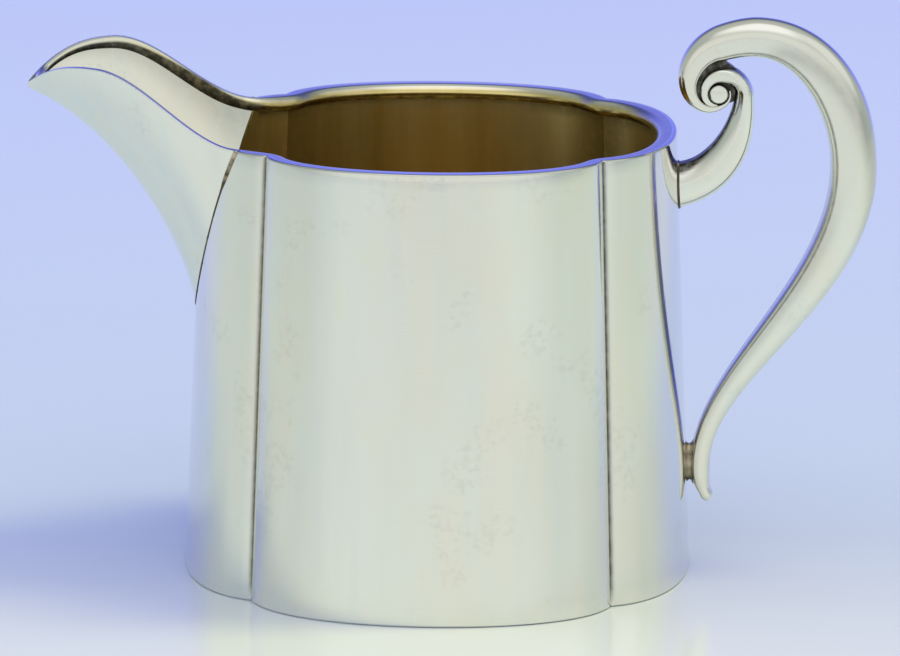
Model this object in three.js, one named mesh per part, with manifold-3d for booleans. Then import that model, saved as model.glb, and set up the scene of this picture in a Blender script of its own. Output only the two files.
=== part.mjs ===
// Silver cream jug: a four-lobed cup that widens to its base, with a flat band inside the rim,
// a beak spout soldered over an opening in one lobe, and a scroll handle on the opposite lobe.
// Millimetres, +Z up. Origin: centre of the base's underside. Spout towards -X, handle towards
// +X, and the two sides mirror each other across Y = 0.
import * as THREE from 'three';
import { mergeVertices } from 'three/addons/utils/BufferGeometryUtils.js';
import Module from 'manifold-3d';

// Cup
const LOBES = 4;
const BODY_HEIGHT = 71.7; // table to rim
const BASE_HALF_WIDTH = 41; // axis to the middle of a lobe, at the table
const RIM_HALF_WIDTH = 37.9; // the same at the rim
const LOBE_SWELL = 1.8; // how far the lobes stand out towards their creases, past their middles
const CREASE_DEPTH = 3.3; // how far each crease is pinched in from there
const CREASE_SPREAD = 6.5; // length of wall over which a lobe rolls into its crease
const CREASE_LEAN = 1.4; // degrees by which the creases stand nearer to the spout and the handle
const WALL = 0.8; // thickness of the sheet that the wall is bent from
const BASE_THICKNESS = 1; // plate soldered inside the foot of the wall
const RIM_BAND_WIDTH = 2.3; // flat wire inside the top of the wall
const RIM_BAND_HEIGHT = 1.9;

// Spout
const SPOUT_REACH = 28.2; // tip, out from the rim
const SPOUT_TIP_RISE = 6.3; // tip, above the rim
const SPOUT_CREST_RISE = 11.3; // top of each edge, above the rim
const SPOUT_CREST_BACK = 12; // top of each edge, behind the tip
const SPOUT_MOUTH = 44.2; // width between the edges at the rim
const SPOUT_NARROWING = 0.4; // share of the width lost from mouth to tip, before the tip rounds off
const SPOUT_TIP_FULLNESS = 5; // how late the tip rounds off
const SPOUT_TIP_BLUNTNESS = 0.75; // from a pointed tip at 1 to a round one at 0.5
const SPOUT_NOSE_FULLNESS = 2.6; // how late the edges fall from their top to the tip
const SPOUT_DROP = 29.4; // foot of the keel, below the rim
const SPOUT_SHEET = 1; // thickness of the spout's sheet
const SPOUT_TIP_WIDTH = 1.2;
const SPOUT_TIP_DEPTH = 0.9;
const KEEL_NOSE = new THREE.Vector2(12.7, -4.5); // keel's pull away from the tip
const KEEL_ROOT = new THREE.Vector2(-2.7, 13.5); // keel's pull away from the wall
const SPOUT_BAND_WIDTH = 1.1; // flat wire inside the spout's edges
const SPOUT_BAND_HEIGHT = 1.7;
const SPOUT_BAND_SHARE = 0.4; // most that the wire takes of the spout's own depth, near the tip

// Scroll handle, in the plane Y = 0
const VOLUTE_OUT = 6.5; // eye of the scroll, out from the rim
const VOLUTE_RISE = 6; // eye of the scroll, above the rim
const BEAD_DIAMETER = 3.2;
const BEAD_WIDTH = 4.6;
const BEAD_DOME = 0.9; // height of the dome on each side of the bead
const LOOP_COIL_PITCH = 7.5; // how far the loop's inner edge closes in on the bead in a turn
const LOOP_COIL_SIDE = 180; // degrees round the eye, from +X over the top, to the side left of it
const LOOP_COIL_DEPTH = 2.3; // loop's depth on that side
const LOOP_COIL_TAPER = 0.62; // rate at which that depth shrinks, per radian
const LOOP_COIL_START = 90; // over the eye
const LOOP_COIL_CLOSED = 272; // where the loop's inner edge has reached the bead
const LOOP_COIL_END = 305;
const LOOP_COIL_WIDTH = 3.6; // loop's width at the end of its coil
const SHOULDER_WIDTH = 5; // loop's width where its coil starts
const CREST_OUT = 5.8; // top of the loop, out from the eye
const CREST_RISE = 9.3; // middle of the loop at its top, above the eye
const CREST_DEPTH = 6.2;
const CREST_WIDTH = 5.6;
const LOOP_OUT = 28.3; // middle of the loop at its widest, out from the rim
const LOOP_DROP = 5.9; // widest place, below the rim
const LOOP_DEPTH = 7.4;
const LOOP_WIDTH = 6.6;
const FOOT_HEIGHT = 16.8; // middle of the lower joint, above the table
const FOOT_STANDOFF = 0.8; // solder between the wall and the loop's foot
const FOOT_DEPTH = 2.8;
const FOOT_WIDTH = 4;
const TAIL_DROP = 5.3; // end of the loop's tail, below the lower joint
const TAIL_FLARE = 1.3; // end of the tail, out from the lower joint
const TAIL_DEPTH = 2.2;
const TAIL_WIDTH = 3.6;
const STRUT_COIL_PITCH = 2.4; // how far the strut's inner edge closes in on the bead in a turn
const STRUT_COIL_DEPTH = 3; // strut's depth right of the eye
const STRUT_COIL_TAPER = 0.34; // rate at which that depth shrinks, per radian
const STRUT_COIL_CLOSED = 140; // degrees round the eye to where the strut's inner edge reaches the bead
const STRUT_COIL_END = 210;
const STRUT_COIL_WIDTH = 3.6; // strut's width at the end of its coil
const STRUT_NECK_WIDTH = 5; // strut's width where its coil starts
const STRUT_DROP = 9; // middle of the strut at the wall, below the rim
const STRUT_DEPTH = 7.2; // strut at the wall
const STRUT_WIDTH = 6;
const PAD_HEIGHT = 7.2; // solder pad at the loop's foot
const PAD_WIDTH = 3.4;

// Fullness of the handle's curves: how far each pull lies from one end towards the other
const TOP_FULLNESS = 0.52; // from the crest out to the side
const SIDE_FULLNESS = 0.55; // from the side up to the crest
const FALL_FULLNESS = 0.42; // from the side down to the foot
const FOOT_FULLNESS = 0.31; // from the foot up to the side
const TAIL_FULLNESS = 0.6; // from the foot down to the tail
const STRUT_LEVEL = 0.65; // from the wall out under the eye
const STRUT_LIFT = 0.06; // rise of the strut over that stretch
const STRUT_UPRIGHT = 0.5; // from the wall's level up to the eye

// Solder seam left between a piece and the curved neighbour that it is fitted to
const SEAM = 0.25;

// Smoothness of the facets
const POINTS_PER_LOBE = 18;
const CREASE_CROWDING = 0.7; // how closely those points gather at the creases
const SPOUT_STATIONS = 22;
const SPOUT_RIB_POINTS = 16;
const HANDLE_STATIONS = 16;
const SHORT_STATIONS = 5;
const COIL_STATIONS = 26;
const DOME_STEPS = 3;
const BEAD_SIDES = 20;

const SILVER = { color: 0xcdd2cc, roughness: 0.18, metalness: 1 };
const GILDED = { color: 0xb98f3c, roughness: 0.22, metalness: 1 };
const SOLDER = { color: 0x7d7058, roughness: 0.5, metalness: 1 };

const wasm = await Module();
wasm.setup();

const lerp = THREE.MathUtils.lerp;
const rimZ = BODY_HEIGHT;

// Skins

// Turns a list of triangles into a geometry whose faces point out
function faceOut(points, triangles) {
  let volume = 0;
  for (const [a, b, c] of triangles) {
    volume += points[a].dot(points[b].clone().cross(points[c]));
  }
  const geometry = new THREE.BufferGeometry();
  geometry.setFromPoints(points);
  geometry.setIndex(triangles.flatMap(([a, b, c]) => (volume > 0 ? [a, b, c] : [a, c, b])));
  return geometry;
}

// Two triangles for each gap between one ring of points and the next
function band(first, second, count) {
  const triangles = [];
  for (let i = 0; i < count; i += 1) {
    const next = (i + 1) % count;
    triangles.push([first + i, first + next, second + next], [first + i, second + next, second + i]);
  }
  return triangles;
}

// Closed skin over a row of equal rings, with a flat cap on each end
function loft(rings) {
  const count = rings[0].length;
  const points = rings.flat();
  const triangles = [];
  for (let i = 0; i + 1 < rings.length; i += 1) {
    triangles.push(...band(i * count, (i + 1) * count, count));
  }
  const centre = (ring) => ring.reduce((sum, p) => sum.add(p), new THREE.Vector3()).divideScalar(count);
  const startCentre = points.push(centre(rings[0])) - 1;
  const endCentre = points.push(centre(rings.at(-1))) - 1;
  const endStart = (rings.length - 1) * count;
  for (let i = 0; i < count; i += 1) {
    const next = (i + 1) % count;
    triangles.push([startCentre, next, i], [endCentre, endStart + i, endStart + next]);
  }
  return faceOut(points, triangles);
}

// Closed skin over rings that lead back to the first one, as round a sleeve's wall
function sleeve(rings) {
  const count = rings[0].length;
  const triangles = [];
  for (let i = 0; i < rings.length; i += 1) {
    triangles.push(...band(i * count, ((i + 1) % rings.length) * count, count));
  }
  return faceOut(rings.flat(), triangles);
}

function solid(geometry) {
  const bare = geometry.clone();
  bare.deleteAttribute('normal');
  bare.deleteAttribute('uv');
  const merged = mergeVertices(bare);
  const vertProperties = new Float32Array(merged.attributes.position.array);
  const triVerts = new Uint32Array(merged.index.array);
  return new wasm.Manifold(new wasm.Mesh({ numProp: 3, vertProperties, triVerts }));
}

function skinOf(manifold) {
  const mesh = manifold.getMesh();
  const geometry = new THREE.BufferGeometry();
  geometry.setAttribute('position', new THREE.BufferAttribute(mesh.vertProperties, 3));
  geometry.setIndex(new THREE.BufferAttribute(mesh.triVerts, 1));
  return geometry;
}

const jug = new THREE.Group();

function addPiece(name, geometry, look) {
  geometry.computeVertexNormals();
  const mesh = new THREE.Mesh(geometry, new THREE.MeshStandardMaterial(look));
  mesh.name = name;
  jug.add(mesh);
}

// Four-lobed cup

const halfWidthAt = (z) => lerp(BASE_HALF_WIDTH, RIM_HALF_WIDTH, z / BODY_HEIGHT);

// Lobed ring at a height, set in from the outside of the wall. A lobe starts and ends at a crease.
function lobedRing(z, inset) {
  const halfWidth = halfWidthAt(z);
  const lobeTurn = (2 * Math.PI) / LOBES;
  const ring = [];
  for (let lobe = 0; lobe < LOBES; lobe += 1) {
    for (let i = 0; i < POINTS_PER_LOBE; i += 1) {
      const share = i / POINTS_PER_LOBE;
      const eased = share - (CREASE_CROWDING * Math.sin(2 * Math.PI * share)) / (2 * Math.PI);
      const turn = eased * lobeTurn;
      const toCrease = Math.min(turn, lobeTurn - turn) * halfWidth;
      const swell = (LOBE_SWELL * (1 + Math.cos(LOBES * turn))) / 2;
      const pinch = CREASE_DEPTH * Math.exp(-toCrease / CREASE_SPREAD);
      const radius = halfWidth + swell - pinch - inset;
      const even = (lobe + 0.5) * lobeTurn + turn;
      const angle = even - THREE.MathUtils.degToRad(CREASE_LEAN) * Math.sin(2 * even);
      ring.push(new THREE.Vector3(radius * Math.cos(angle), radius * Math.sin(angle), z));
    }
  }
  return ring;
}

function lobedSleeve(low, high, outerInset, innerInset) {
  return sleeve([
    lobedRing(low, outerInset),
    lobedRing(high, outerInset),
    lobedRing(high, innerInset),
    lobedRing(low, innerInset),
  ]);
}

const lobedBlock = (low, high, inset) => loft([lobedRing(low, inset), lobedRing(high, inset)]);

// Everything that the wall fills or encloses, grown by a solder seam, past rim and table
const wholeCup = solid(lobedBlock(-BODY_HEIGHT, 2 * BODY_HEIGHT, -SEAM));

// Spout

const tip = new THREE.Vector2(-(RIM_HALF_WIDTH + SPOUT_REACH), rimZ + SPOUT_TIP_RISE);
const mouthHalf = SPOUT_MOUTH / 2;
const mouthX = -Math.sqrt(RIM_HALF_WIDTH ** 2 - mouthHalf ** 2);
const crestX = tip.x + SPOUT_CREST_BACK;
const keelTop = new THREE.Vector2(tip.x, tip.y - SPOUT_TIP_DEPTH);
const keelFoot = new THREE.Vector2(-halfWidthAt(rimZ - SPOUT_DROP), rimZ - SPOUT_DROP);
const keel = new THREE.CubicBezierCurve(
  keelTop,
  keelTop.clone().add(KEEL_NOSE),
  keelFoot.clone().add(KEEL_ROOT),
  keelFoot,
);

// Keel at a station: 0 at the tip, 1 at the wall, and straight on into the cup past it,
// where a cubic curve runs on at three times its last pull
function keelAt(station) {
  if (station <= 1) return keel.getPoint(station);
  return keelFoot.clone().addScaledVector(KEEL_ROOT, -3 * (station - 1));
}

// Step along the keel over which its direction is taken
const KEEL_STEP = 0.01;

// Edge at a station, as its place along X, its height and its half width
function edgeAt(station) {
  const x = lerp(tip.x, mouthX, station);
  const toTip = 1 - Math.min(station, 1);
  const rounded = (1 - toTip ** SPOUT_TIP_FULLNESS) ** SPOUT_TIP_BLUNTNESS;
  const tipHalf = SPOUT_TIP_WIDTH / 2;
  const half = tipHalf + (mouthHalf - tipHalf) * (1 - SPOUT_NARROWING * toTip) * rounded;
  const crestZ = rimZ + SPOUT_CREST_RISE;
  const past = (crestX - x) / SPOUT_CREST_BACK;
  const z = x < crestX
    ? crestZ - (SPOUT_CREST_RISE - SPOUT_TIP_RISE) * past ** SPOUT_NOSE_FULLNESS
    : lerp(crestZ, rimZ, THREE.MathUtils.smoothstep(x, crestX, mouthX));
  return { x, z, half };
}

// Parabolic rib from the keel up to both edges, set in from the outside of the sheet.
// Places along the rib run from -1 at one edge over 0 at the keel to 1 at the other.
function rib(station, inset) {
  const edge = edgeAt(station);
  const share = edge.half / (edge.half + inset);
  const half = edge.half * share;
  const low = keelAt(station);
  const ahead = keelAt(station + KEEL_STEP).sub(low).normalize();
  const lift = new THREE.Vector2(-ahead.y, ahead.x).multiplyScalar(inset * share);
  low.add(lift);
  const rise = Math.hypot(edge.x - low.x, edge.z - low.y);
  const at = (place, narrower = 0) => new THREE.Vector3(
    lerp(low.x, edge.x, place ** 2),
    Math.sign(place) * Math.max(Math.abs(place) * half - narrower, 0),
    lerp(low.y, edge.z, place ** 2),
  );
  return { at, half, rise };
}

function stationsBetween(first, last) {
  return Array.from({ length: SPOUT_STATIONS + 1 }, (_, i) => lerp(first, last, i / SPOUT_STATIONS));
}

const ribPlaces = Array.from({ length: SPOUT_RIB_POINTS + 1 }, (_, i) => (2 * i) / SPOUT_RIB_POINTS - 1);
const intoCup = 1 + (2 * (WALL + RIM_BAND_WIDTH)) / (mouthX - tip.x);
const clearOfEdges = new THREE.Vector3(0, 0, 2 * SPOUT_CREST_RISE);

const spoutBlock = solid(loft(stationsBetween(0, intoCup).map((station) => {
  const line = rib(station, 0);
  return ribPlaces.map((place) => line.at(place));
})));
const channelStart = SPOUT_SHEET / (mouthX - tip.x);
const channel = solid(loft(stationsBetween(channelStart, intoCup).map((station) => {
  const line = rib(station, SPOUT_SHEET);
  return [
    ...ribPlaces.map((place) => line.at(place)),
    line.at(1).add(clearOfEdges),
    line.at(-1).add(clearOfEdges),
  ];
})));

// Flat wire inside both edges: a slab across the channel's top, less the channel between the wires
function edgeSlab(station, narrower, deeper, taller) {
  const line = rib(station, SPOUT_SHEET);
  const depth = Math.min(SPOUT_BAND_HEIGHT + deeper, SPOUT_BAND_SHARE * line.rise);
  const low = Math.sqrt(1 - depth / line.rise);
  const up = new THREE.Vector3(0, 0, taller);
  return [
    line.at(-low, narrower),
    line.at(low, narrower),
    line.at(1, narrower).add(up),
    line.at(-1, narrower).add(up),
  ];
}

const channelHalf = (station) => rib(station, SPOUT_SHEET).half;
const wireStations = stationsBetween(2 * channelStart, intoCup)
  .filter((station) => channelHalf(station) > 2 * SEAM);
const gapStations = wireStations.filter((station) => channelHalf(station) > SEAM + 2 * SPOUT_BAND_WIDTH);
const wireSlab = solid(loft(wireStations.map((station) => edgeSlab(station, SEAM, 0, 0))));
const wireGap = solid(loft(gapStations.map(
  (station) => edgeSlab(station, SEAM + SPOUT_BAND_WIDTH, SPOUT_BAND_HEIGHT, SPOUT_BAND_HEIGHT),
)));
const insideRim = solid(lobedBlock(0, 2 * BODY_HEIGHT, WALL + SEAM + RIM_BAND_WIDTH));

// Cup pieces

addPiece('base_plate', lobedBlock(0, BASE_THICKNESS, WALL + SEAM), SILVER);

const wall = solid(lobedSleeve(0, rimZ, 0, WALL));
addPiece('body_wall', skinOf(wall.subtract(channel)), SILVER);

const rimBand = solid(lobedSleeve(rimZ - RIM_BAND_HEIGHT, rimZ, WALL + SEAM, WALL + SEAM + RIM_BAND_WIDTH));
addPiece('rim_band', skinOf(rimBand.subtract(channel)), GILDED);

addPiece('spout', skinOf(spoutBlock.subtract(channel).subtract(wholeCup)), SILVER);
addPiece('spout_band', skinOf(wireSlab.subtract(wireGap).subtract(insideRim)), SILVER);

// Scroll handle

const eye = new THREE.Vector2(RIM_HALF_WIDTH + VOLUTE_OUT, rimZ + VOLUTE_RISE);
const beadRadius = BEAD_DIAMETER / 2;

// Half section of the casting: round outside, with a crisp corner before a keel inside.
// Each point is a share of the half depth, outwards, and of the half width.
const HALF_SECTION = [
  [1, 0],
  [0.9, 0.45],
  [0.63, 0.8],
  [0.22, 0.98],
  [-0.2, 1],
  [-0.95, 0.35],
  [-1, 0],
];
const SECTION = [...HALF_SECTION, ...HALF_SECTION.slice(1, -1).reverse().map(([n, y]) => [n, -y])];

// Skin along a row of places, each with its depth in the handle's plane and its width across.
// The round side lies to the left of the way that the places run for 1, to the right for -1.
function casting(places, roundSide) {
  const rings = places.map(({ at, depth, width }, i) => {
    const before = places[Math.max(i - 1, 0)].at;
    const after = places[Math.min(i + 1, places.length - 1)].at;
    const along = after.clone().sub(before).normalize();
    const out = new THREE.Vector2(-along.y, along.x).multiplyScalar(roundSide);
    return SECTION.map(([n, y]) => {
      const point = at.clone().addScaledVector(out, (n * depth) / 2);
      return new THREE.Vector3(point.x, (y * width) / 2, point.y);
    });
  });
  return loft(rings);
}

// Places along a curve, with depth and width eased from its start to its end
function along(curve, count, depths, widths, skipFirst) {
  const places = Array.from({ length: count + 1 }, (_, i) => {
    const eased = THREE.MathUtils.smoothstep(i / count, 0, 1);
    return {
      at: curve.getPoint(i / count),
      depth: lerp(depths[0], depths[1], eased),
      width: lerp(widths[0], widths[1], eased),
    };
  });
  return skipFirst ? places.slice(1) : places;
}

// Arm of the scroll round the eye: it closes in on the bead at a steady pitch until it is closed,
// and its depth shrinks at a steady rate from where it is given
function coil({ pitch, depth, depthFrom, taper, from, closed, to, widths }) {
  return Array.from({ length: COIL_STATIONS + 1 }, (_, i) => {
    const share = i / COIL_STATIONS;
    const angle = THREE.MathUtils.degToRad(lerp(from, to, share));
    const left = Math.max(THREE.MathUtils.degToRad(closed) - angle, 0);
    const here = depth * Math.exp(-taper * (angle - THREE.MathUtils.degToRad(depthFrom)));
    const middle = beadRadius + SEAM + (pitch * left) / (2 * Math.PI) + here / 2;
    const at = new THREE.Vector2(Math.cos(angle), Math.sin(angle)).multiplyScalar(middle).add(eye);
    return { at, depth: here, width: lerp(widths[0], widths[1], share) };
  });
}

const loopCoil = coil({
  pitch: LOOP_COIL_PITCH,
  depth: LOOP_COIL_DEPTH,
  depthFrom: LOOP_COIL_SIDE,
  taper: LOOP_COIL_TAPER,
  from: LOOP_COIL_START,
  closed: LOOP_COIL_CLOSED,
  to: LOOP_COIL_END,
  widths: [SHOULDER_WIDTH, LOOP_COIL_WIDTH],
}).reverse();

const crest = eye.clone().add(new THREE.Vector2(CREST_OUT, CREST_RISE));
const widest = new THREE.Vector2(RIM_HALF_WIDTH + LOOP_OUT, rimZ - LOOP_DROP);
const foot = new THREE.Vector2(halfWidthAt(FOOT_HEIGHT) + FOOT_STANDOFF + FOOT_DEPTH / 2, FOOT_HEIGHT);
const tail = new THREE.Vector2(foot.x + TAIL_FLARE, foot.y - TAIL_DROP);
const shoulder = loopCoil.at(-1);
const shoulderPull = shoulder.at.clone().sub(loopCoil.at(-2).at).normalize();

const overTop = new THREE.CubicBezierCurve(
  shoulder.at,
  shoulder.at.clone().addScaledVector(shoulderPull, (crest.x - shoulder.at.x) / 3),
  new THREE.Vector2(lerp(crest.x, shoulder.at.x, 1 / 3), crest.y),
  crest,
);
const roundOut = new THREE.CubicBezierCurve(
  crest,
  new THREE.Vector2(lerp(crest.x, widest.x, TOP_FULLNESS), crest.y),
  new THREE.Vector2(widest.x, lerp(widest.y, crest.y, SIDE_FULLNESS)),
  widest,
);
const sweepDown = new THREE.CubicBezierCurve(
  widest,
  new THREE.Vector2(widest.x, lerp(widest.y, foot.y, FALL_FULLNESS)),
  new THREE.Vector2(foot.x, lerp(foot.y, widest.y, FOOT_FULLNESS)),
  foot,
);
const flickOut = new THREE.QuadraticBezierCurve(
  foot,
  new THREE.Vector2(foot.x, lerp(foot.y, tail.y, TAIL_FULLNESS)),
  tail,
);

addPiece('handle_loop', casting([
  ...loopCoil,
  ...along(overTop, SHORT_STATIONS, [shoulder.depth, CREST_DEPTH], [shoulder.width, CREST_WIDTH], true),
  ...along(roundOut, HANDLE_STATIONS, [CREST_DEPTH, LOOP_DEPTH], [CREST_WIDTH, LOOP_WIDTH], true),
  ...along(sweepDown, HANDLE_STATIONS, [LOOP_DEPTH, FOOT_DEPTH], [LOOP_WIDTH, FOOT_WIDTH], true),
  ...along(flickOut, SHORT_STATIONS, [FOOT_DEPTH, TAIL_DEPTH], [FOOT_WIDTH, TAIL_WIDTH], true),
], 1), SILVER);

const strutCoil = coil({
  pitch: STRUT_COIL_PITCH,
  depth: STRUT_COIL_DEPTH,
  depthFrom: 0,
  taper: STRUT_COIL_TAPER,
  from: 0,
  closed: STRUT_COIL_CLOSED,
  to: STRUT_COIL_END,
  widths: [STRUT_NECK_WIDTH, STRUT_COIL_WIDTH],
});
const strutRootZ = rimZ - STRUT_DROP;
const strutRoot = new THREE.Vector2(halfWidthAt(strutRootZ) - WALL, strutRootZ);
const strutTop = strutCoil[0].at;
const strutCurve = new THREE.CubicBezierCurve(
  strutRoot,
  new THREE.Vector2(lerp(strutRoot.x, strutTop.x, STRUT_LEVEL), lerp(strutRoot.y, strutTop.y, STRUT_LIFT)),
  new THREE.Vector2(strutTop.x, lerp(strutRoot.y, strutTop.y, STRUT_UPRIGHT)),
  strutTop,
);
const strutWidths = [STRUT_WIDTH, STRUT_NECK_WIDTH];
const strut = solid(casting([
  ...along(strutCurve, HANDLE_STATIONS, [STRUT_DEPTH, STRUT_COIL_DEPTH], strutWidths, false),
  ...strutCoil.slice(1),
], -1));
addPiece('handle_strut', skinOf(strut.subtract(wholeCup)), SILVER);

// Round bead in the eye of the scroll, domed on both sides
const beadHalf = BEAD_WIDTH / 2;
const dome = Array.from({ length: DOME_STEPS + 1 }, (_, i) => {
  const angle = (i / DOME_STEPS) * (Math.PI / 2);
  return new THREE.Vector2(beadRadius * Math.sin(angle), beadHalf - BEAD_DOME * (1 - Math.cos(angle)));
});
const beadProfile = [...dome.map(({ x, y }) => new THREE.Vector2(x, -y)), ...dome.toReversed()];
const bead = new THREE.LatheGeometry(beadProfile, BEAD_SIDES);
bead.translate(eye.x, 0, eye.y);
addPiece('volute_bead', bead, SILVER);

// Solder pad that fills the gap between the wall and the loop's foot
const padOuter = foot.x - FOOT_DEPTH / 2 - SEAM;
const pad = new THREE.BoxGeometry(2 * FOOT_STANDOFF, PAD_WIDTH, PAD_HEIGHT);
pad.translate(padOuter - FOOT_STANDOFF, 0, FOOT_HEIGHT);
addPiece('lower_solder_pad', skinOf(solid(pad).subtract(wholeCup)), SOLDER);

export default jug;
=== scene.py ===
import math

import bmesh
import bpy
import numpy as np
from mathutils import Matrix, Vector


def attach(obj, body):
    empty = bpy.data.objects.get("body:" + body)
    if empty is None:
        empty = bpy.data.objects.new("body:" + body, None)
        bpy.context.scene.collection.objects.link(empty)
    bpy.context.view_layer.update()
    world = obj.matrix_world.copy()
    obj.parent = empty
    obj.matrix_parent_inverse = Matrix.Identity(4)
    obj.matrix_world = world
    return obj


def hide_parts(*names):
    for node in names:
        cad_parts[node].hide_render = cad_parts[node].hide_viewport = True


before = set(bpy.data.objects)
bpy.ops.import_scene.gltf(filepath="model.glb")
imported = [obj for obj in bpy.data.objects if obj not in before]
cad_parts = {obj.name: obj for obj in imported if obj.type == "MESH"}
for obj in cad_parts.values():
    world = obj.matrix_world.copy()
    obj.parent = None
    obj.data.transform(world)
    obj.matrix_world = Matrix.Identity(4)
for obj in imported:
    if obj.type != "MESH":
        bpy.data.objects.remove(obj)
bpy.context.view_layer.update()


# Body wall
# One strip of silver sheet, bent round and pinched in at four upright creases, so that it
# stands in four lobes and widens to its foot. Each crease is scored with a tool, and dark
# tarnish stays in the score. The lobe under the spout is cut open, and the inside is gilt.
MM = 0.001
CUP_HEIGHT = 71.7
FOOT_HALF_WIDTH = 41.0
RIM_HALF_WIDTH = 37.9
LOBES = 4
LOBE_SWELL = 1.8
CREASE_DEPTH = 3.3
CREASE_SPREAD = 6.5
CREASE_LEAN = math.radians(1.4)
SCORE_DEPTH = 0.28
SCORE_HALF_WIDTH = 0.26
SCORE_FADE = (1.2, 3.4)
WALL_SHEET = 0.8
FOOT_EDGE = 0.55
RIM_EDGE = 0.32
RIM_EDGE_SCORE = 0.6
RIM_EDGE_SHADE = 0.22
GILT_START = 0.06
WIRE_SHADOW = (2.3, 4.4)
WIRE_SHADOW_GRIME = 0.75
WIRE_SHADOW_DEEPER = 2.2
GILT_CREASE_SHADE = 0.3
GILT_CREASE_REACH = 5.5
GILT_END_SHADE = 0.22
GILT_END = (0.25, 0.6)
SCORE_GRIME = 0.92
SCORE_GRIME_HALF_WIDTH = 0.4
QUARTER = math.pi / 2
SHARP_BEND = math.radians(38)


def ease(value, start, end):
    share = np.clip((value - start) / (end - start), 0, 1)
    return share * share * (3 - 2 * share)


def half_width_at(z):
    return FOOT_HALF_WIDTH + (RIM_HALF_WIDTH - FOOT_HALF_WIDTH) * z / CUP_HEIGHT


def from_lobe_middle(turn):
    even = turn + CREASE_LEAN * np.sin(2 * turn)
    return np.abs(np.mod(even + QUARTER / 2, QUARTER) - QUARTER / 2)


def arc_to_crease(turn, z):
    return (QUARTER / 2 - from_lobe_middle(turn)) * half_width_at(z)


def cup_radius(turn, z):
    swell = LOBE_SWELL * (1 - np.cos(LOBES * from_lobe_middle(turn))) / 2
    pinch = CREASE_DEPTH * np.exp(-arc_to_crease(turn, z) / CREASE_SPREAD)
    return half_width_at(z) + swell - pinch


def score_share(turn, z, half_width):
    across = arc_to_crease(turn, z) / half_width
    return np.exp(-across**2) * ease(z, *SCORE_FADE)


def round_axis(turn, radius, z):
    return np.stack([radius * np.cos(turn), radius * np.sin(turn), z], -1)


def grid_faces(rows, columns, rows_close=False, columns_close=False):
    faces = []
    for row in range(rows if rows_close else rows - 1):
        below = row * columns
        above = (row + 1) % rows * columns
        for column in range(columns if columns_close else columns - 1):
            beside = (column + 1) % columns
            faces.append((below + column, below + beside, above + beside, above + column))
    return faces


def make_piece(name, points, faces, finish):
    mesh = bpy.data.meshes.new(name)
    mesh.from_pydata((np.asarray(points).reshape(-1, 3) * MM).tolist(), [], faces)
    skin = bmesh.new()
    skin.from_mesh(mesh)
    bmesh.ops.recalc_face_normals(skin, faces=skin.faces)
    if skin.calc_volume(signed=True) < 0:
        bmesh.ops.reverse_faces(skin, faces=skin.faces)
    skin.to_mesh(mesh)
    skin.free()
    mesh.shade_smooth()
    mesh.set_sharp_from_angle(angle=SHARP_BEND)
    mesh.materials.append(finish)
    piece = bpy.data.objects.new(name, mesh)
    bpy.context.scene.collection.objects.link(piece)
    return piece


def mark(piece, layer_name, values):
    layer = piece.data.attributes.new(layer_name, "FLOAT", "POINT")
    layer.data.foreach_set("value", np.asarray(values, dtype=np.float32).ravel())


# The opening under the spout follows the spout's inside, so the spout is set out here: a keel
# from the tip down to the wall, two edges from the tip back to the rim, and ribs between them.
SPOUT_TIP = np.array([-66.1, 78.0])
SPOUT_CREST_RISE = 11.3
SPOUT_CREST_X = -54.1
SPOUT_MOUTH_HALF = 22.1
SPOUT_MOUTH_X = -math.sqrt(RIM_HALF_WIDTH**2 - SPOUT_MOUTH_HALF**2)
SPOUT_TIP_HALF = 0.6
SPOUT_TIP_DEPTH = 0.9
SPOUT_NARROWING = 0.4
SPOUT_TIP_FULLNESS = 5
SPOUT_TIP_BLUNTNESS = 0.75
SPOUT_NOSE_FULLNESS = 2.6
SPOUT_SHEET = 0.8
RIB_FULLNESS = 2.15
KEEL_FOOT_Z = 42.3
KEEL_NOSE = np.array([12.7, -4.5])
KEEL_ROOT = np.array([-2.7, 13.5])
KEEL_STEP = 0.01
STATION_SEARCH = (0.5, 1.4)
SEARCH_HALVINGS = 40
keel_top = SPOUT_TIP - [0, SPOUT_TIP_DEPTH]
keel_foot = np.array([-half_width_at(KEEL_FOOT_Z), KEEL_FOOT_Z])


def cubic(first, pull_first, pull_last, last, share):
    share = np.asarray(share, dtype=float)[..., None]
    rest = 1 - share
    return (rest**3 * first + 3 * rest**2 * share * pull_first
            + 3 * rest * share**2 * pull_last + share**3 * last)


def keel_at(station):
    on_keel = cubic(keel_top, keel_top + KEEL_NOSE, keel_foot + KEEL_ROOT, keel_foot,
                    np.clip(station, 0, 1))
    past_wall = np.maximum(np.asarray(station) - 1, 0)[..., None]
    return on_keel - 3 * past_wall * KEEL_ROOT


def edge_at(station):
    x = SPOUT_TIP[0] + (SPOUT_MOUTH_X - SPOUT_TIP[0]) * station
    to_tip = 1 - np.clip(station, 0, 1)
    rounded = (1 - to_tip**SPOUT_TIP_FULLNESS) ** SPOUT_TIP_BLUNTNESS
    widening = (1 - SPOUT_NARROWING * to_tip) * rounded
    half = SPOUT_TIP_HALF + (SPOUT_MOUTH_HALF - SPOUT_TIP_HALF) * widening
    crest_z = CUP_HEIGHT + SPOUT_CREST_RISE
    past_crest = np.clip((SPOUT_CREST_X - x) / (SPOUT_CREST_X - SPOUT_TIP[0]), 0, 1)
    nose_z = crest_z - (crest_z - SPOUT_TIP[1]) * past_crest**SPOUT_NOSE_FULLNESS
    back_z = crest_z - SPOUT_CREST_RISE * ease(x, SPOUT_CREST_X, SPOUT_MOUTH_X)
    return x, np.where(x < SPOUT_CREST_X, nose_z, back_z), half


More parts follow.
